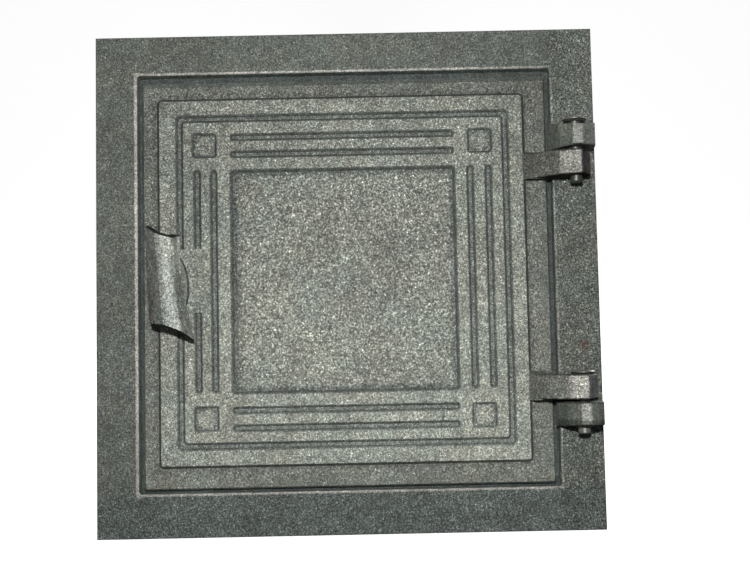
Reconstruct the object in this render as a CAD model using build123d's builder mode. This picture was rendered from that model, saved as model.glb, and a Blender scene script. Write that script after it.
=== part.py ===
from build123d import *
import math
import os

# Ash pit door for a masonry stove: cast frame, cast door on two pins, turning latch.
# Millimetres. +Z up, the front faces -Y, +X to the right seen from the front.
# Origin: centre of the flange, on its back face, which lies against the wall.
# Plane.XZ.offset(h) is the plane h in front of the wall face, so h = -Y.

os.makedirs("parts", exist_ok=True)

# ---- frame casting
flange_w = 250.0          # outer square of the flange
flange_t = 6.0            # flange thickness, front face at h = 6
rec_x, rec_z = -0.35, 0.9    # centre of the recess and collar
rec_w, rec_h = 207.6, 208.5  # recess, wall to wall
rec_floor = -0.6          # h of the seat that the door closes on
seat_t = 5.0              # thickness of the seat ledge
open_w, open_h = 195.2, 195.5  # clear passage inside the seat
collar_wall = 4.5
collar_end = -50.0        # h of the collar's rear edge
lip_r = 0.6               # rounded lip round the recess
wire_hole_r = 3.5         # holes for the anchor wires
wire_hole_y = 38.0
wire_pitch = 140.0

# ---- hinge
axis_x, axis_y = 113.4, -16.0   # pin axis, vertical
pin_r = 3.0
frame_bore_r = 3.05
door_bore_r = 3.08
toe_x = 101.8             # the frame lugs reach this far to the left
# lug spans along Z, at the pin
up_frame_lug = (62.4, 75.0)
up_door_lug = (48.4, 60.8)
lo_door_lug = (-60.4, -48.4)
lo_frame_lug = (-73.4, -61.4)
up_head_z = 75.05          # underside of the upper pin's head
lo_head_z = -48.4

# ---- door casting
door_x, door_z = -0.6, -0.05    # centre of the plate
door_w = 204.0
rim_back = -0.3           # h of the rear rim
side_top = 1.9            # h where the straight side ends
band_edge = 3.9           # h of the band at its outer edge
band_in = 4.4             # h of the band at the step
field = 6.4               # h of the raised field
edge = (-101.25, 100.3, -101.1, 99.4)   # outer edge of the band: left, right, bottom, top
plate_back = 2.2          # h of the plate's back
rim_w = 5.5               # width of the rear rim
step = (-94.5, 90.25, -91.35, 93.1)   # foot of the step: left, right, bottom, top
groove_w = 4.1            # width of a sunken line at the surface
groove_d = 1.25
wall_taper = 46

# ---- latch
piv_x, piv_z = -87.0, -0.8
shank_r = 4.0
latch_bore_r = 4.08
hub_back = 6.7
boss_back = -4.1
rear = 2.9                # the pieces behind the door sit this much nearer than h = -7.3
grip_tilt = 5.8           # degrees, top end to the left
pawl_reach = 11.5         # pivot to the centre of the pawl's round end


# ============================================================ frame
def knuckle_plan():
    """Plan of a frame lug: steep left side, flattened front, rounded right side."""
    with BuildSketch(Plane.XY) as s:
        Polygon(
            (toe_x, -5.0), (toe_x, -7.2), (105.6, -17.5), (110.2, -24.7), (115.4, -25.9), (119.7, -23.4),
            (122.7, -19.0), (123.5, -14.0), (123.4, -5.0), align=None,
        )
        fillet(s.vertices().filter_by(lambda v: -25.0 < v.Y < -24.0), radius=1.6)
        fillet(s.vertices().filter_by(lambda v: v.Y < -25.5), radius=2.0)
        fillet(s.vertices().filter_by(lambda v: -24.0 < v.Y < -18.5 and v.X > 118), radius=3.0)
    return s.sketch


knuckle_profile = knuckle_plan()


def frame_lug(z0, z1, low, high):
    """Knuckle, merging into the flange and filling the recess beside the door."""
    with BuildPart() as lug:
        with BuildSketch(Plane.XY.offset(z0)):
            add(knuckle_profile)
            Polygon((103.0, 0.7), (103.0, -6.0), (105.0, -6.0), (105.0, 0.7), align=None)
        extrude(amount=z1 - z0)
        # the outer side has casting draft: it leans towards the pin axis at the front
        with BuildSketch(Plane.YZ):
            Polygon((5.0, low[0]), (-28.0, low[1]), (-28.0, high[1]), (5.0, high[0]), align=None)
        extrude(amount=200, both=True, mode=Mode.INTERSECT)
        fillet(
            lug.edges()
            .filter_by(lambda e: e.center().Y < -9.0)
            .filter_by(lambda e: abs(e.tangent_at(0.5).Z) < 0.5 and abs(e.center().Z - (z0 + z1) / 2) > 4),
            radius=0.9,
        )
    return lug.part


up_frame_lug_part = frame_lug(up_frame_lug[0], 83.0, (up_frame_lug[0] - 1, up_frame_lug[0] - 1), (79.1, 71.9))
lo_frame_lug_part = frame_lug(-77.0, lo_frame_lug[1], (-75.1, -72.4), (lo_frame_lug[1] + 1, lo_frame_lug[1] + 1))

with BuildPart() as frame:
    # flange
    with BuildSketch(Plane.XZ):
        Rectangle(flange_w, flange_w)
    extrude(amount=flange_t)
    # collar
    with BuildSketch(Plane.XZ):
        with Locations((rec_x, rec_z)):
            RectangleRounded(rec_w + 2 * collar_wall, rec_h + 2 * collar_wall, 6)
    extrude(amount=collar_end)
    # recess for the door
    with BuildSketch(Plane.XZ.offset(flange_t)):
        with Locations((rec_x, rec_z)):
            RectangleRounded(rec_w, rec_h, 1.4)
    extrude(amount=rec_floor - flange_t, mode=Mode.SUBTRACT)
    # passage inside the seat
    with BuildSketch(Plane.XZ.offset(rec_floor)):
        with Locations((rec_x, rec_z)):
            RectangleRounded(open_w, open_h, 4)
    extrude(amount=-seat_t, mode=Mode.SUBTRACT)
    # inside of the collar
    with BuildSketch(Plane.XZ.offset(rec_floor - seat_t)):
        with Locations((rec_x, rec_z)):
            RectangleRounded(rec_w, rec_h, 2.5)
    extrude(amount=collar_end - (rec_floor - seat_t), mode=Mode.SUBTRACT)
    # rounded lip of the recess, and the flange's outer edges just eased
    fillet(
        frame.edges()
        .filter_by(lambda e: abs(e.center().Y + flange_t) < 0.01)
        .filter_by(lambda e: abs(e.center().X) < 108 and abs(e.center().Z) < 108),
        radius=lip_r,
    )
    fillet(
        frame.edges()
        .filter_by(lambda e: abs(e.center().Y + flange_t) < 0.01)
        .filter_by(lambda e: abs(e.center().X) > 124.9 or abs(e.center().Z) > 124.9),
        radius=0.6,
    )
    # corner between flange and collar
    fillet(
        frame.edges()
        .filter_by(lambda e: abs(e.center().Y) < 0.01)
        .filter_by(lambda e: abs(e.center().X) < 115 and abs(e.center().Z) < 115),
        radius=2.0,
    )
    # stop for the pawl, cast on the back of the seat
    with BuildSketch(Plane.XZ.offset(rec_floor - seat_t)):
        with Locations((-101.7, 7.6)):
            Rectangle(6.9, 6.0)
    extrude(amount=-6.0)
    # holes for the anchor wires, two in each side wall of the collar
    with BuildSketch(Plane.YZ):
        with Locations((wire_hole_y, rec_z + wire_pitch / 2), (wire_hole_y, rec_z - wire_pitch / 2)):
            Circle(wire_hole_r)
    extrude(amount=130, both=True, mode=Mode.SUBTRACT)
    # hinge lugs
    add(up_frame_lug_part)
    add(lo_frame_lug_part)
    with BuildSketch(Plane.XY.offset(lo_frame_lug[0] - 3)):
        with Locations((axis_x, axis_y)):
            Circle(frame_bore_r)
    extrude(amount=up_frame_lug[1] - lo_frame_lug[0] + 10, mode=Mode.SUBTRACT)
    # flat seat for the upper pin's head
    with BuildSketch(Plane.XY.offset(up_head_z)):
        with Locations((axis_x, axis_y)):
            Circle(6.3)
    extrude(amount=8, mode=Mode.SUBTRACT)
frame.part.label = "frame"


# ============================================================ door
def lug_plan(shoulder_r):
    """Plan of a door lug: flat-fronted knuckle and an arm that runs down on to the band."""
    with BuildSketch(Plane.XY) as s:
        with BuildLine():
            Polyline(
                (axis_x, -7.6), (102.2, -7.6), (102.2, -3.2), (101.5, -3.0), (88.6, -4.0), (88.6, -6.6),
                (90.5, -9.0), (104.2, -21.4), (114.9, -24.2), (120.9, -14.5),
            )
            ThreePointArc((120.9, -14.5), (118.5, -9.5), (axis_x, -7.6))
        make_face()
        fillet(s.vertices().filter_by(lambda v: abs(v.X - 104.2) < 0.01), radius=shoulder_r)
        fillet(s.vertices().filter_by(lambda v: v.Y < -23.8), radius=0.9)
        fillet(s.vertices().filter_by(lambda v: abs(v.X - 120.9) < 0.01), radius=1.2)
    return s.sketch


def door_lug(z0, z1, root_low, root_high, shoulder_r):
    lug_profile = lug_plan(shoulder_r)
    # root, spreading towards the plate
    with BuildPart() as root:
        with BuildSketch(Plane.XY.offset(z0 - 5)):
            add(lug_profile)
        extrude(amount=z1 - z0 + 10)
        with BuildSketch(Plane.XZ):
            Polygon(
                (87.0, root_low), (103.5, z0), (103.5, z1), (101.8, z1), (100.6, z1 + 0.7),
                (97.0, root_high - 0.3), (87.0, root_high), align=None,
            )
        extrude(amount=40, both=True, mode=Mode.INTERSECT)
        with BuildSketch(Plane.YZ):
            Polygon(
                (0.0, z0 - 3), (-10.5, z0 - 3), (-10.5, z1 - 1.1), (-5.5, root_high + 0.1), (0.0, root_high + 0.1),
                align=None,
            )
        extrude(amount=200, both=True, mode=Mode.INTERSECT)
    # arm and knuckle
    with BuildPart() as lug:
        with BuildSketch(Plane.XY.offset(z0)):
            add(lug_profile)
        extrude(amount=z1 - z0)
        fillet(
            lug.edges().filter_by(Plane.XY).filter_by(lambda e: e.center().Y < -9.3),
            radius=1.1,
        )
        with BuildSketch(Plane.XZ):
            Polygon((80.0, root_low + 0.7), (103.5, z0), (124.0, z0 - 1), (124.0, z1 + 1), (80.0, z1 + 1), align=None)
        extrude(amount=40, both=True, mode=Mode.INTERSECT)
        add(root.part)
    return lug.part


upper_lug = door_lug(up_door_lug[0], up_door_lug[1], 48.5, 62.6, 2.0)
lower_lug = door_lug(lo_door_lug[0], lo_door_lug[1], -61.2, -46.5, 9.0)

with BuildPart() as door:
    # straight-sided back
    with BuildSketch(Plane.XZ.offset(rim_back)):
        with Locations((door_x, door_z)):
            RectangleRounded(door_w, door_w, 1.6)
    extrude(amount=side_top - rim_back)
    # bevelled edge, steep at the sides and wide along the top
    edge_w, edge_h = edge[1] - edge[0], edge[3] - edge[2]
    edge_cx, edge_cz = (edge[0] + edge[1]) / 2, (edge[2] + edge[3]) / 2
    with BuildSketch(Plane.XZ.offset(side_top)):
        with Locations((door_x, door_z)):
            RectangleRounded(door_w, door_w, 1.6)
    with BuildSketch(Plane.XZ.offset(band_edge)):
        with Locations((edge_cx, edge_cz)):
            RectangleRounded(edge_w, edge_h, 0.6)
    loft(ruled=True)
    # band, rising a little towards the step
    step_w, step_h = step[1] - step[0], step[3] - step[2]
    step_cx, step_cz = (step[0] + step[1]) / 2, (step[2] + step[3]) / 2
    with BuildSketch(Plane.XZ.offset(band_edge)):
        with Locations((edge_cx, edge_cz)):
            RectangleRounded(edge_w - 0.02, edge_h - 0.02, 0.6)
    with BuildSketch(Plane.XZ.offset(band_in)):
        with Locations((step_cx, step_cz)):
            RectangleRounded(step_w, step_h, 0.4)
    loft(ruled=True)
    # raised field
    with BuildSketch(Plane.XZ.offset(band_in)):
        with Locations((step_cx, step_cz)):
            RectangleRounded(step_w, step_h, 2.8)
    extrude(amount=field - band_in, taper=36)
    # round boss under the handle, level with the field
    with BuildSketch(Plane.XZ.offset(plate_back)):
        with Locations((piv_x, piv_z)):
            Circle(9.0)
    extrude(amount=field - plate_back)

    # closed square line
    with BuildSketch(Plane.XZ.offset(field)):
        with Locations((-1.45, 0.93)):
            RectangleRounded(163.3 + groove_w, 163.25 + groove_w, 2.2)
            RectangleRounded(163.3 - groove_w, 163.25 - groove_w, 1.2, mode=Mode.SUBTRACT)
    extrude(amount=-groove_d, taper=wall_taper, mode=Mode.SUBTRACT)
    # short lines, two beside each edge of the panel
    with BuildSketch(Plane.XZ.offset(field)):
        with Locations((-1.6, 72.95), (-1.6, 64.3), (-1.6, -63.3), (-1.6, -72.0)):
            RectangleRounded(112.6, groove_w, 1.7)
        with Locations((-74.3, 1.05), (-66.05, 1.05), (62.3, 1.05), (71.4, 1.05)):
            RectangleRounded(groove_w, 111.5, 1.7)
    extrude(amount=-groove_d, taper=wall_taper, mode=Mode.SUBTRACT)
    # corner squares
    with BuildSketch(Plane.XZ.offset(field)):
        with Locations((-70.6, 69.0), (67.4, 69.0), (66.6, -67.8), (-70.6, -67.2)):
            RectangleRounded(12.8, 12.8, 1.8)
    extrude(amount=-1.1, taper=wall_taper, mode=Mode.SUBTRACT)
    # sunken panel
    with BuildSketch(Plane.XZ.offset(field)):
        with Locations((-1.6, 0.6)):
            RectangleRounded(113.2, 112.4, 2.2)
    extrude(amount=-1.6, taper=wall_taper, mode=Mode.SUBTRACT)
    # the lines stop short of the handle
    with BuildSketch(Plane.XZ.offset(band_in - 0.2)):
        with Locations((-79.3, 1.3)):
            Rectangle(14.8, 31.8)
    extrude(amount=field - (band_in - 0.2))

    # hollow back, leaving a rim that closes on the seat
    with BuildSketch(Plane.XZ.offset(rim_back)):
        with Locations((door_x, door_z)):
            RectangleRounded(door_w - 2 * rim_w, door_w - 2 * rim_w, 3)
    extrude(amount=plate_back - rim_back, mode=Mode.SUBTRACT)
    # inner boss for the latch
    with BuildSketch(Plane.XZ.offset(boss_back)):
        with Locations((piv_x, piv_z)):
            Circle(8.5)
    extrude(amount=plate_back - boss_back + 1)
    with BuildSketch(Plane.XZ.offset(boss_back - 1)):
        with Locations((piv_x, piv_z)):
            Circle(latch_bore_r)
    extrude(amount=field - boss_back + 2, mode=Mode.SUBTRACT)

    # hinge lugs
    add(upper_lug)
    add(lower_lug)
    with BuildSketch(Plane.XY.offset(lo_door_lug[0] - 1)):
        with Locations((axis_x, axis_y)):
            Circle(door_bore_r)
    extrude(amount=up_door_lug[1] - lo_door_lug[0] + 2, mode=Mode.SUBTRACT)
door.part.label = "door"


# ============================================================ hinge pins
def hinge_pin(head_z, end_z):
    with BuildPart() as pin:
        with BuildSketch(Plane.XZ.offset(-axis_y)):
            with BuildLine():
                # the head is flat and undercut below its rim
                Polyline(
                    (axis_x, end_z), (axis_x + pin_r - 0.5, end_z), (axis_x + pin_r, end_z + 0.5),
                    (axis_x + pin_r, head_z), (axis_x + 4.8, head_z), (axis_x + 5.9, head_z + 0.9),
                    (axis_x + 5.9, head_z + 1.3), (axis_x + 5.4, head_z + 1.7), (axis_x + 3.6, head_z + 2.0),
                    (axis_x, head_z + 2.1), (axis_x, end_z),
                )
            make_face()
        revolve(axis=Axis((axis_x, axis_y, 0), (0, 0, 1)))
    return pin.part


with BuildPart() as hinge_pin_upper:
    add(hinge_pin(up_head_z, 45.2))
hinge_pin_upper.part.label = "hinge_pin_upper"

with BuildPart() as hinge_pin_lower:
    add(hinge_pin(lo_head_z, -76.9))
hinge_pin_lower.part.label = "hinge_pin_lower"


# ============================================================ latch
t = math.radians(grip_tilt)


# level sections through the grip: z, left edge, crown left, crown right, right edge, width of the thin rim
grip_sections = [
    (30.0, -97.4, -92.8, -84.4, -81.6, 1.0),
    (15.0, -97.0, -91.4, -83.7, -81.1, 0.9),
    (1.0, -96.6, -90.3, -82.7, -80.3, 0.5),
    (-12.5, -95.7, -89.3, -81.1, -77.9, 0.4),
    (-32.0, -91.2, -85.6, -76.8, -73.7, 0.4),
]

with BuildPart() as grip:
    for z, xl, xcl, xcr, xr, rim in grip_sections:
        with BuildSketch(Plane.XY.offset(z)):
            with BuildLine():
                xm = (xcl + xcr) / 2
                Line((xl, -19.3), (xcl - 0.5, -23.45))
                ThreePointArc((xcl - 0.5, -23.45), (xcl - 0.15, -23.75), (xcl + 0.3, -23.9))
                ThreePointArc((xcl + 0.3, -23.9), (xm, -23.95), (xcr - 0.6, -23.05))
                ThreePointArc((xcr - 0.6, -23.05), (xcr + 0.35, -22.35), (xcr + 0.9, -21.2))
                Line((xcr + 0.9, -21.2), (xr - rim, -17.6))
                Line((xr - rim, -17.6), (xr, -17.1))
                Line((xr, -17.1), (xr - 0.4, -15.8))
                Line((xr - 0.4, -15.8), (xr - rim - 2.3, -16.2))
                Line((xr - rim - 2.3, -16.2), (xcr - 1.6, -19.7))
                ThreePointArc((xcr - 1.6, -19.7), (xm, -20.7), (xcl + 1.3, -20.4))
                Line((xcl + 1.3, -20.4), (xl + 2.3, -16.8))
                Line((xl + 2.3, -16.8), (xl + 0.3, -17.6))
                Line((xl + 0.3, -17.6), (xl, -19.3))
            make_face()
    loft()
    # both ends are cut on the slant, with draft towards the front
    with BuildSketch(Plane.XZ.offset(14)):
        Polygon((-120.0, 37.5), (-60.0, 15.9), (-60.0, -34.5), (-120.0, -12.9), align=None)
    extrude(amount=12, taper=20, mode=Mode.INTERSECT)

with BuildPart() as hub:
    # long oval base, showing at the right of the grip
    with BuildSketch(Plane.XZ.offset(hub_back)):
        with Locations((piv_x, piv_z)):
            Ellipse(8.4, 17.0, rotation=3.5)
    extrude(amount=3.4)
    fillet(hub.edges().filter_by(lambda e: e.center().Y < -hub_back - 3.3), radius=0.9)
    # web rising into the hollow of the grip
    with BuildSketch(Plane.XZ.offset(hub_back + 2)):
        with Locations((piv_x - 0.2, piv_z)):
            RectangleRounded(6.4, 22.0, 2.5, rotation=4)
    extrude(amount=12.6)

with BuildPart() as latch_handle:
    add(grip.part)
    add(hub.part)
    # shank through the door
    with BuildSketch(Plane.XZ.offset(hub_back)):
        with Locations((piv_x, piv_z)):
            Circle(shank_r)
    extrude(amount=-(hub_back + 8.8 - rear))
    # square for the pawl
    with BuildSketch(Plane.XZ.offset(rear - 8.8)):
        with Locations((piv_x, piv_z)):
            Rectangle(5.6, 5.6, rotation=grip_tilt)
    extrude(amount=-4.4)
    # threaded end, shown plain
    with BuildSketch(Plane.XZ.offset(rear - 13.2)):
        with Locations((piv_x, piv_z)):
            Circle(2.5)
    extrude(amount=-6.6)
latch_handle.part.label = "latch_handle"

with BuildPart() as pivot_washer:
    with BuildSketch(Plane.XZ.offset(rear - 7.3)):
        with Locations((piv_x, piv_z)):
            Circle(8.0)
            Circle(shank_r + 0.1, mode=Mode.SUBTRACT)
    extrude(amount=-1.5)
pivot_washer.part.label = "pivot_washer"

with BuildPart() as latch_pawl:
    with BuildSketch(Plane.XZ.offset(rear - 8.8)):
        with Locations((piv_x, piv_z)):
            Circle(6.6)
        with Locations((piv_x + pawl_reach * math.sin(t), piv_z - pawl_reach * math.cos(t))):
            Circle(4.5)
        make_hull()
        with Locations((piv_x, piv_z)):
            Rectangle(5.6, 5.6, rotation=grip_tilt, mode=Mode.SUBTRACT)
    extrude(amount=-4.5)
    chamfer(
        latch_pawl.edges()
        .filter_by(lambda e: e.center().Y > 13.2 - rear and e.length > 7),
        length=0.8,
    )
latch_pawl.part.label = "latch_pawl"

with BuildPart() as nut_washer:
    with BuildSketch(Plane.XZ.offset(rear - 13.3)):
        with Locations((piv_x, piv_z)):
            Circle(5.5)
            Circle(2.65, mode=Mode.SUBTRACT)
    extrude(amount=-1.0)
nut_washer.part.label = "nut_washer"

with BuildPart() as latch_nut:
    with BuildSketch(Plane.XZ.offset(rear - 14.3)):
        with Locations((piv_x, piv_z)):
            RegularPolygon(radius=4.0, side_count=6, major_radius=False, rotation=17)
            Circle(2.55, mode=Mode.SUBTRACT)
    extrude(amount=-4.0)
latch_nut.part.label = "latch_nut"


for name, built in [
    ("frame", frame), ("door", door),
    ("hinge_pin_upper", hinge_pin_upper), ("hinge_pin_lower", hinge_pin_lower),
    ("latch_handle", latch_handle), ("pivot_washer", pivot_washer),
    ("latch_pawl", latch_pawl), ("nut_washer", nut_washer), ("latch_nut", latch_nut),
]:
    export_step(built.part, f"parts/{name}.step")
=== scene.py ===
import bpy
import math
from mathutils import Matrix, Vector

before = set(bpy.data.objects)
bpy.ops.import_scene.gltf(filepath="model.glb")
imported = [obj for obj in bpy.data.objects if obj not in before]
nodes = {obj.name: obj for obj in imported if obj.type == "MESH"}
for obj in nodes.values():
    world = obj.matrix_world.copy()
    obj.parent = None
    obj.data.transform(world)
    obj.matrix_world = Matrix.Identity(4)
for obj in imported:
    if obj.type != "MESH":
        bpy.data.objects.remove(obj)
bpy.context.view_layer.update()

# ------------------------------------------------------------------ camera
# nearly square on to the front, a little below the middle and to the right of it
cam_data = bpy.data.cameras.new("camera")
cam = bpy.data.objects.new("camera", cam_data)
bpy.context.scene.collection.objects.link(cam)
right = Vector((0.999795, -0.000194, -0.02027))
up = Vector((0.020219, -0.061936, 0.997875))
fwd = Vector((0.001449, 0.99808, 0.061919))
rot = Matrix((right, up, -fwd)).transposed().to_4x4()
cam.matrix_world = Matrix.Translation(Vector((0.012912, -0.502211, -0.03263))) @ rot
cam_data.sensor_width = 36.0
cam_data.lens = 48.0
cam_data.clip_start = 0.01
cam_data.clip_end = 20.0
bpy.context.scene.camera = cam

# ------------------------------------------------------------------ floor and light
floor_z = -0.1252


def plain_material(name, colour, rough, glow=0.0):
    m = bpy.data.materials.new(name)
    m.use_nodes = True
    b = m.node_tree.nodes["Principled BSDF"]
    b.inputs["Base Color"].default_value = (*colour, 1)
    b.inputs["Roughness"].default_value = rough
    b.inputs["Specular IOR Level"].default_value = 0.0
    b.inputs["Emission Color"].default_value = (1, 1, 1, 1)
    b.inputs["Emission Strength"].default_value = glow
    return m


def make_stage():
    mesh = bpy.data.meshes.new("floor")
    verts, faces = [], []
    prof = [(-3.0, floor_z), (1.2, floor_z)]
    for i in range(1, 13):
        a = math.pi / 2 * i / 12
        prof.append((1.2 + 0.8 * math.sin(a), floor_z + 0.8 * (1 - math.cos(a))))
    prof.append((2.0, 4.0))
    for y, z in prof:
        verts += [(-4.0, y, z), (4.0, y, z)]
    for i in range(len(prof) - 1):
        a = 2 * i
        faces.append((a, a + 1, a + 3, a + 2))
    mesh.from_pydata(verts, [], faces)
    for p in mesh.polygons:
        p.use_smooth = True
    ob = bpy.data.objects.new("floor", mesh)
    bpy.context.scene.collection.objects.link(ob)
    mesh.materials.append(plain_material("floor_pale", (0.85, 0.85, 0.85), 0.9, 0.86))
    # the white sweep sends no light back on to the iron
    ob.visible_diffuse = False
    ob.visible_glossy = False


make_stage()

# a dim room, white where the lens looks past the sweep
world = bpy.data.worlds.new("world")
bpy.context.scene.world = world
world.use_nodes = True
wt = world.node_tree
room = wt.nodes["Background"]
room.inputs["Color"].default_value = (0.97, 0.985, 1.0, 1)
room.inputs["Strength"].default_value = 0.085
white = wt.nodes.new("ShaderNodeBackground")
white.inputs["Color"].default_value = (1, 1, 1, 1)
white.inputs["Strength"].default_value = 1.0
path = wt.nodes.new("ShaderNodeLightPath")
pick = wt.nodes.new("ShaderNodeMixShader")
wt.links.new(path.outputs["Is Camera Ray"], pick.inputs[0])
wt.links.new(room.outputs[0], pick.inputs[1])
wt.links.new(white.outputs[0], pick.inputs[2])
wt.links.new(pick.outputs[0], wt.nodes["World Output"].inputs["Surface"])


def area(name, loc, target, size, power, colour=(1, 1, 1)):
    d = bpy.data.lights.new(name, "AREA")
    d.shape = "DISK"
    d.size = size
    d.energy = power
    d.color = colour
    o = bpy.data.objects.new(name, d)
    o.location = loc
    o.rotation_mode = "QUATERNION"
    o.rotation_quaternion = (Vector(target) - Vector(loc)).to_track_quat("-Z", "Y")
    bpy.context.scene.collection.objects.link(o)
    return o


# a small lamp just above the lens, and two broad ones behind for the back and the sides
area("key", (0.013, -0.501, 0.064), (0, 0, 0), 0.034, 2.36)
area("back_left", (-1.0, 1.1, 0.8), (0, 0, 0), 0.9, 13.0)
area("back_right", (1.0, 1.1, 0.8), (0, 0, 0), 0.9, 13.0)

vs = bpy.context.scene.view_settings
vs.view_transform = "Standard"
vs.look = "None"
vs.exposure = 0.0
vs.gamma = 1.0


# ------------------------------------------------------------------ materials
class Graph:
    """Small helper that adds nodes and links them."""

    def __init__(self, name):
        self.mat = bpy.data.materials.new(name)
        self.mat.use_nodes = True
        self.t = self.mat.node_tree
        self.b = self.t.nodes["Principled BSDF"]
        tc = self.add("ShaderNodeTexCoord")
        self.co = tc.outputs["Object"]
        sep = self.add("ShaderNodeSeparateXYZ")
        self.link(self.co, sep.inputs[0])
        self.x, self.y, self.z = sep.outputs[0], sep.outputs[1], sep.outputs[2]
        nsep = self.add("ShaderNodeSeparateXYZ")
        self.link(tc.outputs["Normal"], nsep.inputs[0])
        self.nx, self.ny, self.nz = nsep.outputs[0], nsep.outputs[1], nsep.outputs[2]

    def add(self, kind, **props):
        n = self.t.nodes.new(kind)
        for k, v in props.items():
            setattr(n, k, v)
        return n

    def link(self, a, b):
        self.t.links.new(a, b)

    def mapped(self, scale, offset=(0, 0, 0)):
        """Object coordinates in cells of that many per metre."""
        n = self.add("ShaderNodeMapping")
        n.inputs["Scale"].default_value = scale if isinstance(scale, tuple) else (scale,) * 3
        n.inputs["Location"].default_value = offset
        self.link(self.co, n.inputs["Vector"])
        return n.outputs["Vector"]

    def noise(self, per_m, detail=2.0, rough=0.5, offset=(0, 0, 0), distortion=0.0):
        n = self.add("ShaderNodeTexNoise")
        n.inputs["Scale"].default_value = 1.0
        n.inputs["Detail"].default_value = detail
        n.inputs["Roughness"].default_value = rough
        n.inputs["Distortion"].default_value = distortion
        self.link(self.mapped(per_m, offset), n.inputs["Vector"])
        return n.outputs["Fac"]

    def cells(self, per_m, offset=(0, 0, 0), feature="F1", out="Distance"):
        n = self.add("ShaderNodeTexVoronoi", feature=feature)
        n.inputs["Scale"].default_value = 1.0
        self.link(self.mapped(per_m, offset), n.inputs["Vector"])
        return n.outputs[out]

    def ramp(self, fac, stops):
        """Piecewise curve through (position, value) points."""
        n = self.add("ShaderNodeValToRGB")
        e = n.color_ramp.elements
        while len(e) < len(stops):
            e.new(0.5)
        for el, (p, v) in zip(e, stops):
            el.position = p
            el.color = (v, v, v, 1) if not isinstance(v, tuple) else (*v, 1)
        self.link(fac, n.inputs["Fac"])
        return n.outputs["Color"]

    def math(self, op, a, b=None, clamp=False):
        n = self.add("ShaderNodeMath", operation=op, use_clamp=clamp)
        for i, v in enumerate((a, b)):
            if v is None:
                continue
            if isinstance(v, (int, float)):
                n.inputs[i].default_value = v
            else:
                self.link(v, n.inputs[i])
        return n.outputs[0]

    def span(self, v, a, b, lo=0.0, hi=1.0):
        """Smooth change from lo at a to hi at b."""
        n = self.add("ShaderNodeMapRange", interpolation_type="SMOOTHSTEP", clamp=True)
        self.link(v, n.inputs["Value"])
        n.inputs["From Min"].default_value = a
        n.inputs["From Max"].default_value = b
        n.inputs["To Min"].default_value = lo
        n.inputs["To Max"].default_value = hi
        return n.outputs["Result"]

    def mul(self, *parts):
        out = parts[0]
        for p in parts[1:]:
            out = self.math("MULTIPLY", out, p)
        return out

    def outside(self, cx, cz, half_w, half_h):
        """Distance outside a rectangle in the front plane, negative within it."""
        dx = self.math("SUBTRACT", self.math("ABSOLUTE", self.math("SUBTRACT", self.x, cx)), half_w)
        dz = self.math("SUBTRACT", self.math("ABSOLUTE", self.math("SUBTRACT", self.z, cz)), half_h)
        return self.math("MAXIMUM", dx, dz)

    def round_spot(self, cx, cz, r_in, r_out):
        dx = self.math("SUBTRACT", self.x, cx)
        dz = self.math("SUBTRACT", self.z, cz)
        d = self.math("SQRT", self.math("ADD", self.math("MULTIPLY", dx, dx), self.math("MULTIPLY", dz, dz)))
        return self.span(d, r_in, r_out, 1.0, 0.0)

    def mix(self, fac, a, b, blend="MIX"):
        n = self.add("ShaderNodeMix", data_type="RGBA", blend_type=blend)
        for i, v in ((0, fac), (6, a), (7, b)):
            if isinstance(v, (int, float)):
                n.inputs[i].default_value = v if i == 0 else (v, v, v, 1)
            elif isinstance(v, tuple):
                n.inputs[i].default_value = (*v, 1)
            else:
                self.link(v, n.inputs[i])
        return n.outputs[2]

    def scale_colour(self, col, k):
        """Colour times a number or a number socket."""
        n = self.add("ShaderNodeVectorMath", operation="SCALE")
        self.link(col, n.inputs[0])
        if isinstance(k, (int, float)):
            n.inputs["Scale"].default_value = k
        else:
            self.link(k, n.inputs["Scale"])
        return n.outputs[0]

    def blend(self, fac, a, b):
        """Number mix: a where fac is 0, b where it is 1."""
        n = self.add("ShaderNodeMix", data_type="FLOAT")
        for i, v in ((0, fac), (2, a), (3, b)):
            if isinstance(v, (int, float)):
                n.inputs[i].default_value = v
            else:
                self.link(v, n.inputs[i])
        return n.outputs[0]

    def bump(self, height, strength, distance, normal=None):
        n = self.add("ShaderNodeBump")
        n.inputs["Strength"].default_value = strength
        n.inputs["Distance"].default_value = distance
        self.link(height, n.inputs["Height"])
        if normal is not None:
            self.link(normal, n.inputs["Normal"])
        return n.outputs["Normal"]


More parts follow.
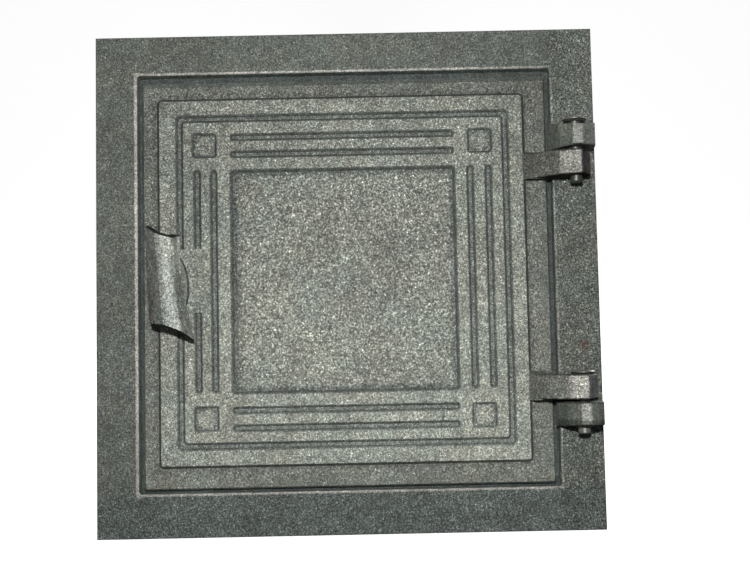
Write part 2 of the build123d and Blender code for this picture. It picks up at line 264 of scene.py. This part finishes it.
def iron(name, tone, grain=1450, gain=5.0, patches=0.9, rough=0.7, metallic=0.15, bump=1.0, sparkle=1.0,
         rust=0.0, shape=None):
    """Sand-cast iron. shape(g) may return masks that change tone, roughness and metal by place."""
    g = Graph(name)
    fine = g.noise(grain, 2.0, 0.6)
    mid = g.noise(grain * 0.46, 2.0, 0.5, (3.1, 7.7, 1.3))
    mott = g.noise(120, 3.0, 0.6, (5.0, 2.0, 9.0))
    broad = g.noise(24, 3.0, 0.55, (1.0, 4.0, 6.0))
    place = shape(g) if shape else {}
    # brightness of the sand grains, even in stops, with slower patches over them
    slow = g.noise(grain * 0.2, 1.0, 0.5, (6.3, 1.9, 4.1))
    e = g.math("MULTIPLY", g.math("SUBTRACT", fine, 0.5), gain * 0.72)
    e = g.math("ADD", e, g.math("MULTIPLY", g.math("SUBTRACT", mid, 0.5), gain * 0.44))
    e = g.math("ADD", e, g.math("MULTIPLY", g.math("SUBTRACT", slow, 0.5), gain * 0.13))
    if "grain" in place:
        e = g.math("MULTIPLY", e, place["grain"])
    e = g.math("ADD", e, g.math("MULTIPLY", g.math("SUBTRACT", mott, 0.5), patches))
    e = g.math("ADD", e, g.math("MULTIPLY", g.math("SUBTRACT", broad, 0.5), patches * 0.8))
    k = g.math("EXPONENT", e)
    # single bright grains
    cell = g.add("ShaderNodeSeparateColor")
    g.link(g.cells(1150, (0.2, 0.9, 0.4), out="Color"), cell.inputs["Color"])
    glint = g.math("MULTIPLY", g.math("GREATER_THAN", cell.outputs["Red"], 1.0 - 0.03 * sparkle),
                   g.math("LESS_THAN", g.cells(1150, (0.2, 0.9, 0.4)), 0.42))
    k = g.math("MULTIPLY", k, g.math("ADD", 1.0, g.math("MULTIPLY", glint, 1.1)))
    # dark pinholes
    pcell = g.add("ShaderNodeSeparateColor")
    g.link(g.cells(820, (0.3, 0.8, 0.1), out="Color"), pcell.inputs["Color"])
    pit = g.math("MULTIPLY", g.math("GREATER_THAN", pcell.outputs["Green"], 0.95),
                 g.math("LESS_THAN", g.cells(820, (0.3, 0.8, 0.1)), 0.33))
    k = g.math("MULTIPLY", k, g.math("SUBTRACT", 1.0, g.math("MULTIPLY", pit, 0.5)))
    if "level" in place:
        k = g.math("MULTIPLY", k, place["level"])
    # faint warm and cool drift of bare iron
    hue = g.noise(55, 2.0, 0.5, (8.0, 8.0, 2.0))
    col = g.mix(g.span(hue, 0.35, 0.65), tuple(c * w for c, w in zip(tone, (0.985, 1.01, 1.005))),
                tuple(c * w for c, w in zip(tone, (1.02, 0.995, 0.965))))
    for mask, tint in place.get("tints", ()):
        col = g.mix(mask, col, tint)
    col = g.scale_colour(col, k)
    if rust > 0:
        rn = g.noise(95, 4.0, 0.65, (2.0, 6.0, 4.0))
        rmask = g.math("MULTIPLY", g.span(rn, 0.58, 0.72), rust)
        col = g.mix(rmask, col, (0.14, 0.075, 0.042))
    for mask, tint in place.get("stains", ()):
        col = g.mix(mask, col, tint)
    g.link(col, g.b.inputs["Base Color"])
    m = place.get("metal")
    if m is None:
        g.b.inputs["Metallic"].default_value = metallic
    else:
        g.link(g.blend(m[0], metallic, m[1]), g.b.inputs["Metallic"])
    rr = g.math("ADD", g.math("MULTIPLY", mid, 0.16), -0.08)
    r = place.get("gloss")
    if r is None:
        rr = g.math("ADD", rr, rough)
    else:
        rr = g.math("ADD", rr, g.blend(r[0], rough, r[1]))
    g.link(rr, g.b.inputs["Roughness"])
    # places of painted shade hardly shine
    if "shade_dull" in place:
        g.link(g.blend(place["shade_dull"], 0.5, 0.03), g.b.inputs["Specular IOR Level"])
    # relief: unevenness of the mould, sand grain, pinholes
    n1 = g.bump(g.noise(38, 2.0, 0.5, (7.0, 1.0, 3.0)), 1.0, 0.0007 * bump)
    n2 = g.bump(mid, 1.0, 0.00016 * bump, n1)
    n3 = g.bump(fine, 1.0, 0.00010 * bump, n2)
    n4 = g.bump(g.math("SUBTRACT", 1.0, pit), 0.6, 0.00008 * bump, n3)
    g.link(n4, g.b.inputs["Normal"])
    return g.mat


def mm(*v):
    return [c / 1000 for c in v]


def frame_places(g):
    d = g.outside(-0.00035, 0.0009, 0.1038, 0.10425)
    h = g.math("MULTIPLY", g.y, -1.0)
    front = g.span(h, *mm(5.0, 5.4))
    # rubbed, polished lip round the recess, with a painted highlight on it: lighter colour, widest on the left
    wide = g.span(g.x, -0.100, -0.103, 1.0, 1.3)
    lip = g.mul(g.span(g.math("DIVIDE", d, wide), *mm(0.9, 1.45), 1.0, 0.0), front, g.span(h, *mm(6.3, 6.6), 1.0, 0.0))
    worn = g.noise(210, 2.0, 0.5, (2.2, 1.1, 0.4))
    lip = g.mul(lip, g.span(worn, 0.25, 0.5, 0.7, 1.0), g.span(g.x, 0.098, 0.102, 1.0, 0.4), g.span(g.z, 0.098, 0.103, 1.0, 0.78))
    # painted shade: the floor of the recess is darker, in front of the seat only, and its steep walls are painted
    # lighter
    recess_shade = g.mul(g.span(d, *mm(-0.05, 0.2), 1.0, 0.0), g.span(h, *mm(5.3, 4.9)), g.span(h, *mm(-1.6, -1.2)),
                 g.span(g.outside(-0.00035, 0.0009, 0.0976, 0.09775), *mm(-0.4, 0.2)))
    wall = g.math("MULTIPLY", recess_shade, g.span(g.math("ABSOLUTE", g.ny), 0.6, 0.3))
    # hinge lugs, a little polished on the front
    lug = g.mul(g.span(g.x, *mm(101.0, 102.0)), g.span(h, *mm(6.6, 8.0)))
    upper = g.span(g.z, -0.010, 0.010)
    crown = g.mul(g.span(g.x, *mm(108.8, 111.2)), g.span(g.x, *mm(116.4, 114.4)), g.span(h, *mm(22.5, 24.0)))
    # painted shade on the lugs: the toe, the undersides (the lower lug's most), a strip low on the lower lug and its
    # top ledge under the door lug are darker
    toe = g.mul(lug, g.span(g.x, *mm(108.0, 103.6)))
    under = g.mul(lug, g.span(g.nz, -0.5, -0.85))
    strip = g.mul(lug, g.math("SUBTRACT", 1.0, upper), g.span(g.z, *mm(-69.9, -70.5)))
    ledge = g.mul(lug, g.math("SUBTRACT", 1.0, upper), g.span(g.z, *mm(-62.6, -61.9)))
    # painted shade: the bottom strip of the flange is darker
    low = g.span(g.z, -0.1030, -0.1045)
    side = g.mul(g.span(g.x, *mm(101.5, 104.5)), g.math("SUBTRACT", 1.0, lug), front)
    level = g.blend(low, 1.0, 0.82)
    level = g.math("MULTIPLY", level, g.blend(side, 1.0, 0.86))
    level = g.math("MULTIPLY", level, g.blend(lip, 1.0, 3.1))
    level = g.math("MULTIPLY", level, g.blend(recess_shade, 1.0, 0.5))
    level = g.math("MULTIPLY", level, g.blend(wall, 1.0, 3.2))
    level = g.math("MULTIPLY", level, g.blend(lug, 1.0, 1.62))
    level = g.math("MULTIPLY", level, g.blend(crown, 1.0, g.blend(upper, 1.0, 0.7)))
    level = g.math("MULTIPLY", level, g.blend(toe, 1.0, 0.8))
    level = g.math("MULTIPLY", level, g.blend(strip, 1.0, 0.5))
    level = g.math("MULTIPLY", level, g.blend(ledge, 1.0, 0.4))
    level = g.math("MULTIPLY", level, g.blend(under, 1.0, g.blend(upper, 0.2, 0.9)))
    rough_spot = g.noise(700, 2.0, 0.6, (4.0, 4.0, 4.0))
    spot = g.mul(g.round_spot(0.1170, -0.0345, 0.0012, 0.0042), g.span(rough_spot, 0.3, 0.55), g.span(h, *mm(5.0, 5.5)), 0.9)
    grain = g.blend(side, g.blend(low, 1.0, 1.25), 1.45)
    return {
        "level": level,
        "grain": g.blend(lip, g.blend(lug, grain, 0.8), 0.7),
        "tints": [(g.math("MULTIPLY", low, 0.8), (0.108, 0.128, 0.116)), (g.math("MULTIPLY", recess_shade, 0.8), (0.098, 0.122, 0.114)), (g.math("MULTIPLY", crown, 0.5), (0.126, 0.122, 0.112)),
                  (lip, (0.126, 0.119, 0.109))],
        "stains": [(spot, (0.075, 0.038, 0.018))],
        "shade_dull": g.mul(under, g.math("SUBTRACT", 1.0, upper)),
        "metal": (g.math("MAXIMUM", g.math("MULTIPLY", lip, 0.4), g.math("MAXIMUM", crown, g.math("MULTIPLY", lug, 0.4))), 0.6),
        "gloss": (g.math("MAXIMUM", g.math("MULTIPLY", lip, 0.7), g.math("MAXIMUM", crown, g.math("MULTIPLY", lug, 0.5))), 0.5),
    }


def door_places(g):
    h = g.math("MULTIPLY", g.y, -1.0)
    d = g.outside(-0.00215, 0.0009, 0.09225, 0.0921)
    # what follows belongs to the faces that look forward or sideways, not to the back
    front = g.mul(g.span(h, *mm(1.0, 2.0)), g.span(g.ny, 0.25, -0.05))
    field = g.mul(g.span(d, *mm(-1.0, -1.6)), front)
    # painted shade: steep walls of lines and steps, and the floors of the lines, are darker, except near the outer rim
    ny = g.math("ABSOLUTE", g.ny)
    not_lug = g.span(h, *mm(7.5, 6.6))
    steep = g.mul(g.span(ny, 0.94, 0.78), front, not_lug)
    rim = g.span(d, *mm(6.0, 7.0))
    inner = g.outside(-0.0016, 0.0006, 0.0548, 0.0544)
    panel = g.span(inner, *mm(-0.6, -3.0))
    inside = g.math("MULTIPLY", g.span(inner, *mm(0.6, -0.4)), front)
    # dust and soot gather along the left side of the panel
    drift = g.mul(inside, g.span(g.x, *mm(-50.0, -55.5)), 0.32)
    squares = g.math("MAXIMUM", g.round_spot(-0.0706, 0.069, 0.0040, 0.0052), g.round_spot(0.0674, 0.069, 0.0040, 0.0052))
    squares = g.math("MAXIMUM", squares, g.round_spot(0.0666, -0.0678, 0.0040, 0.0052))
    squares = g.math("MAXIMUM", squares, g.round_spot(-0.0706, -0.0672, 0.0040, 0.0052))
    keep = g.math("SUBTRACT", 1.0, g.math("MAXIMUM", panel, squares))
    sunk = g.mul(g.span(h, *mm(6.15, 5.6)), g.span(d, *mm(-4.0, -4.5)), keep, front)
    # painted shade: a soft dark line on the band at the foot of the step
    foot = g.mul(g.span(d, *mm(3.0, 0.4)), g.span(d, *mm(-1.4, -0.4)), front)
    # painted light: the lower half is lighter
    rise = g.span(g.z, 0.085, -0.095, 0.0, 1.0)
    # painted light and shade on the door lugs: the front of the knuckle brighter; its right flank, the undersides and
    # the lower lug's top faces darker
    lug = g.mul(g.span(g.x, *mm(89.5, 93.0)), g.span(h, *mm(6.6, 8.0)))
    upper = g.span(g.z, -0.010, 0.010)
    arm = g.mul(lug, g.span(g.x, *mm(93.0, 102.5)))
    knuckle = g.mul(g.span(g.x, *mm(100.5, 106.5)), g.span(h, *mm(18.0, 21.0)), g.span(g.x, *mm(115.4, 114.9)))
    bright = g.mul(knuckle, g.span(g.x, *mm(104.0, 110.0)))
    flank = g.mul(g.span(g.x, *mm(114.9, 115.6)), g.span(h, *mm(7.0, 9.0)))
    rusty = g.mul(flank, g.span(g.x, *mm(116.8, 119.5)), g.span(g.noise(260, 3.0, 0.6, (1.5, 2.5, 0.5)), 0.4, 0.6), upper)
    under = g.mul(g.span(h, *mm(5.6, 6.6)), g.span(g.x, *mm(88.0, 89.5)), g.span(g.nz, -0.5, -0.85))
    top = g.mul(lug, g.span(g.nz, 0.5, 0.85), g.math("SUBTRACT", 1.0, upper))
    dark = g.mul(g.round_spot(0.0163, 0.0075, 0.004, 0.026), g.span(h, *mm(4.0, 4.5)), front, 0.16)
    # the band is darker than the field, and painted light makes it darker at the top and lighter at the bottom
    band = g.span(g.z, 0.096, -0.099, 0.62, 0.94)
    level = g.blend(field, band, g.blend(rise, 0.97, 1.46))
    level = g.math("MULTIPLY", level, g.blend(g.mul(field, inside), 1.0, 0.86))
    level = g.math("MULTIPLY", level, g.blend(g.mul(field, g.span(g.x, *mm(-60.0, -66.0)), g.math("SUBTRACT", 1.0, inside)), 1.0, 0.93))
    level = g.math("MULTIPLY", level, g.blend(steep, 1.0, g.blend(rim, 0.68, 1.1)))
    level = g.math("MULTIPLY", level, g.blend(foot, 1.0, 0.76))
    level = g.math("MULTIPLY", level, g.blend(sunk, 1.0, 0.6))
    level = g.math("MULTIPLY", level, g.math("SUBTRACT", 1.0, dark))
    level = g.math("MULTIPLY", level, g.math("SUBTRACT", 1.0, drift))
    level = g.math("MULTIPLY", level, g.blend(g.span(h, *mm(1.6, 0.8)), 1.0, 0.9))
    level = g.math("MULTIPLY", level, g.blend(lug, 1.0, 0.85))
    level = g.math("MULTIPLY", level, g.blend(arm, 1.0, 1.22))
    level = g.math("MULTIPLY", level, g.blend(knuckle, 1.0, 0.85))
    level = g.math("MULTIPLY", level, g.blend(bright, 1.0, g.blend(upper, 1.42, 1.12)))
    level = g.math("MULTIPLY", level, g.blend(flank, 1.0, g.blend(upper, 0.72, 0.13)))
    level = g.math("MULTIPLY", level, g.blend(under, 1.0, 0.2))
    level = g.math("MULTIPLY", level, g.blend(top, 1.0, 0.6))
    return {
        "level": level,
        "grain": g.blend(lug, g.blend(steep, g.math("MULTIPLY", g.blend(rise, 1.06, 0.88), g.blend(inside, 1.0, 1.14)), 0.7), 0.95),
        "tints": [(g.math("MULTIPLY", g.math("MAXIMUM", sunk, steep), 0.8), (0.183, 0.205, 0.184)),
                  (g.math("MULTIPLY", lug, 0.3), (0.205, 0.200, 0.178)), (g.math("MULTIPLY", knuckle, 0.6), (0.211, 0.200, 0.181)),
                  (g.mul(flank, g.math("SUBTRACT", 1.0, upper)), (0.185, 0.20, 0.195)),
                  (g.math("MULTIPLY", rusty, 0.9), (1.15, 0.62, 0.42))],
        "metal": (g.mul(g.math("MAXIMUM", knuckle, g.math("MULTIPLY", lug, 0.3)), g.math("SUBTRACT", 1.0, flank)), 0.6),
        "gloss": (g.math("MAXIMUM", knuckle, g.math("MULTIPLY", lug, 0.3)), 0.5),
        "shade_dull": g.math("MAXIMUM", under, g.math("MULTIPLY", flank, upper)),
    }


def handle_places(g):
    h = g.math("MULTIPLY", g.y, -1.0)
    # painted shade: the hub under the grip, the end faces and the left side are darker; painted light: the right side
    # is lighter
    hub = g.span(h, *mm(13.0, 11.0))
    ends = g.mul(g.span(g.math("ABSOLUTE", g.nz), 0.55, 0.8), g.span(h, *mm(13.0, 15.0)))
    left = g.mul(g.span(g.x, *mm(-91.5, -95.0)), g.math("SUBTRACT", 1.0, hub))
    right = g.mul(g.span(g.nx, 0.25, 0.55), g.math("SUBTRACT", 1.0, hub))
    level = g.blend(hub, 1.0, 0.6)
    level = g.math("MULTIPLY", level, g.blend(ends, 1.0, 0.15))
    level = g.math("MULTIPLY", level, g.blend(left, 1.0, g.span(g.z, 0.020, -0.012, 1.0, 0.62)))
    level = g.math("MULTIPLY", level, g.blend(right, 1.0, 1.15))
    streak = g.noise((900, 900, 160), 2.0, 0.6, (0.4, 0.1, 0.9))
    level = g.math("MULTIPLY", level, g.span(streak, 0.3, 0.7, 0.88, 1.12))
    # painted highlight: a bright edge near the upper end; a brown film low on the left side
    edge = g.mul(g.span(g.nx, 0.45, 0.7), g.span(h, *mm(15.0, 16.5)), g.span(g.z, 0.003, 0.006), g.span(g.z, 0.0215, 0.0195))
    level = g.math("MULTIPLY", level, g.blend(edge, 1.0, 1.7))
    film = g.mul(left, g.span(g.z, 0.0, -0.008), 0.5)
    return {"level": level, "shade_dull": ends, "tints": [(hub, (0.20, 0.205, 0.18)), (film, (0.235, 0.205, 0.19))]}


def pin_places(g):
    # painted highlight: the rims of the heads and the foot of the lower pin are brighter
    heads = g.math("MAXIMUM", g.span(g.z, *mm(76.0, 76.3)), g.mul(g.span(g.z, *mm(-47.4, -47.1)), g.span(g.z, 0.0, -0.01)))
    foot = g.span(g.z, *mm(-70.0, -72.0))
    lit = g.math("MAXIMUM", heads, foot)
    return {"level": g.blend(lit, 1.0, g.blend(foot, 2.6, 2.4)), "gloss": (heads, 0.35)}


def set_material(node, mat):
    ob = nodes[node]
    if not ob.data.materials:
        ob.data.materials.append(mat)
    for s in ob.material_slots:
        s.material = mat


frame_mat = iron("frame_iron", (0.109, 0.120, 0.105), grain=2050, gain=6.4, shape=frame_places, sparkle=0.8, rough=0.72)
door_mat = iron("door_iron", (0.193, 0.204, 0.178), grain=2000, gain=7.4, shape=door_places, sparkle=1.2, rough=0.7)
handle_mat = iron("handle_iron", (0.222, 0.236, 0.216), grain=1700, gain=5.4, patches=0.8, sparkle=0.8, rough=0.54, metallic=0.45,
                  shape=handle_places)
pin_mat = iron("pin_steel", (0.105, 0.108, 0.098), grain=2600, gain=2.5, sparkle=0.2, rough=0.42, metallic=0.6, bump=0.4, rust=0.3,
               shape=pin_places)
pawl_mat = iron("pawl_iron", (0.12, 0.128, 0.112), gain=4.5, sparkle=0.5)
zinc_mat = iron("fastener_steel", (0.34, 0.34, 0.33), grain=2600, gain=1.5, sparkle=0.0, rough=0.38, metallic=0.95, bump=0.2)

set_material("frame", frame_mat)
set_material("door", door_mat)
set_material("latch_handle", handle_mat)
set_material("hinge_pin_upper", pin_mat)
set_material("hinge_pin_lower", pin_mat)
set_material("latch_pawl", pawl_mat)
for n in ("pivot_washer", "nut_washer", "latch_nut"):
    set_material(n, zinc_mat)
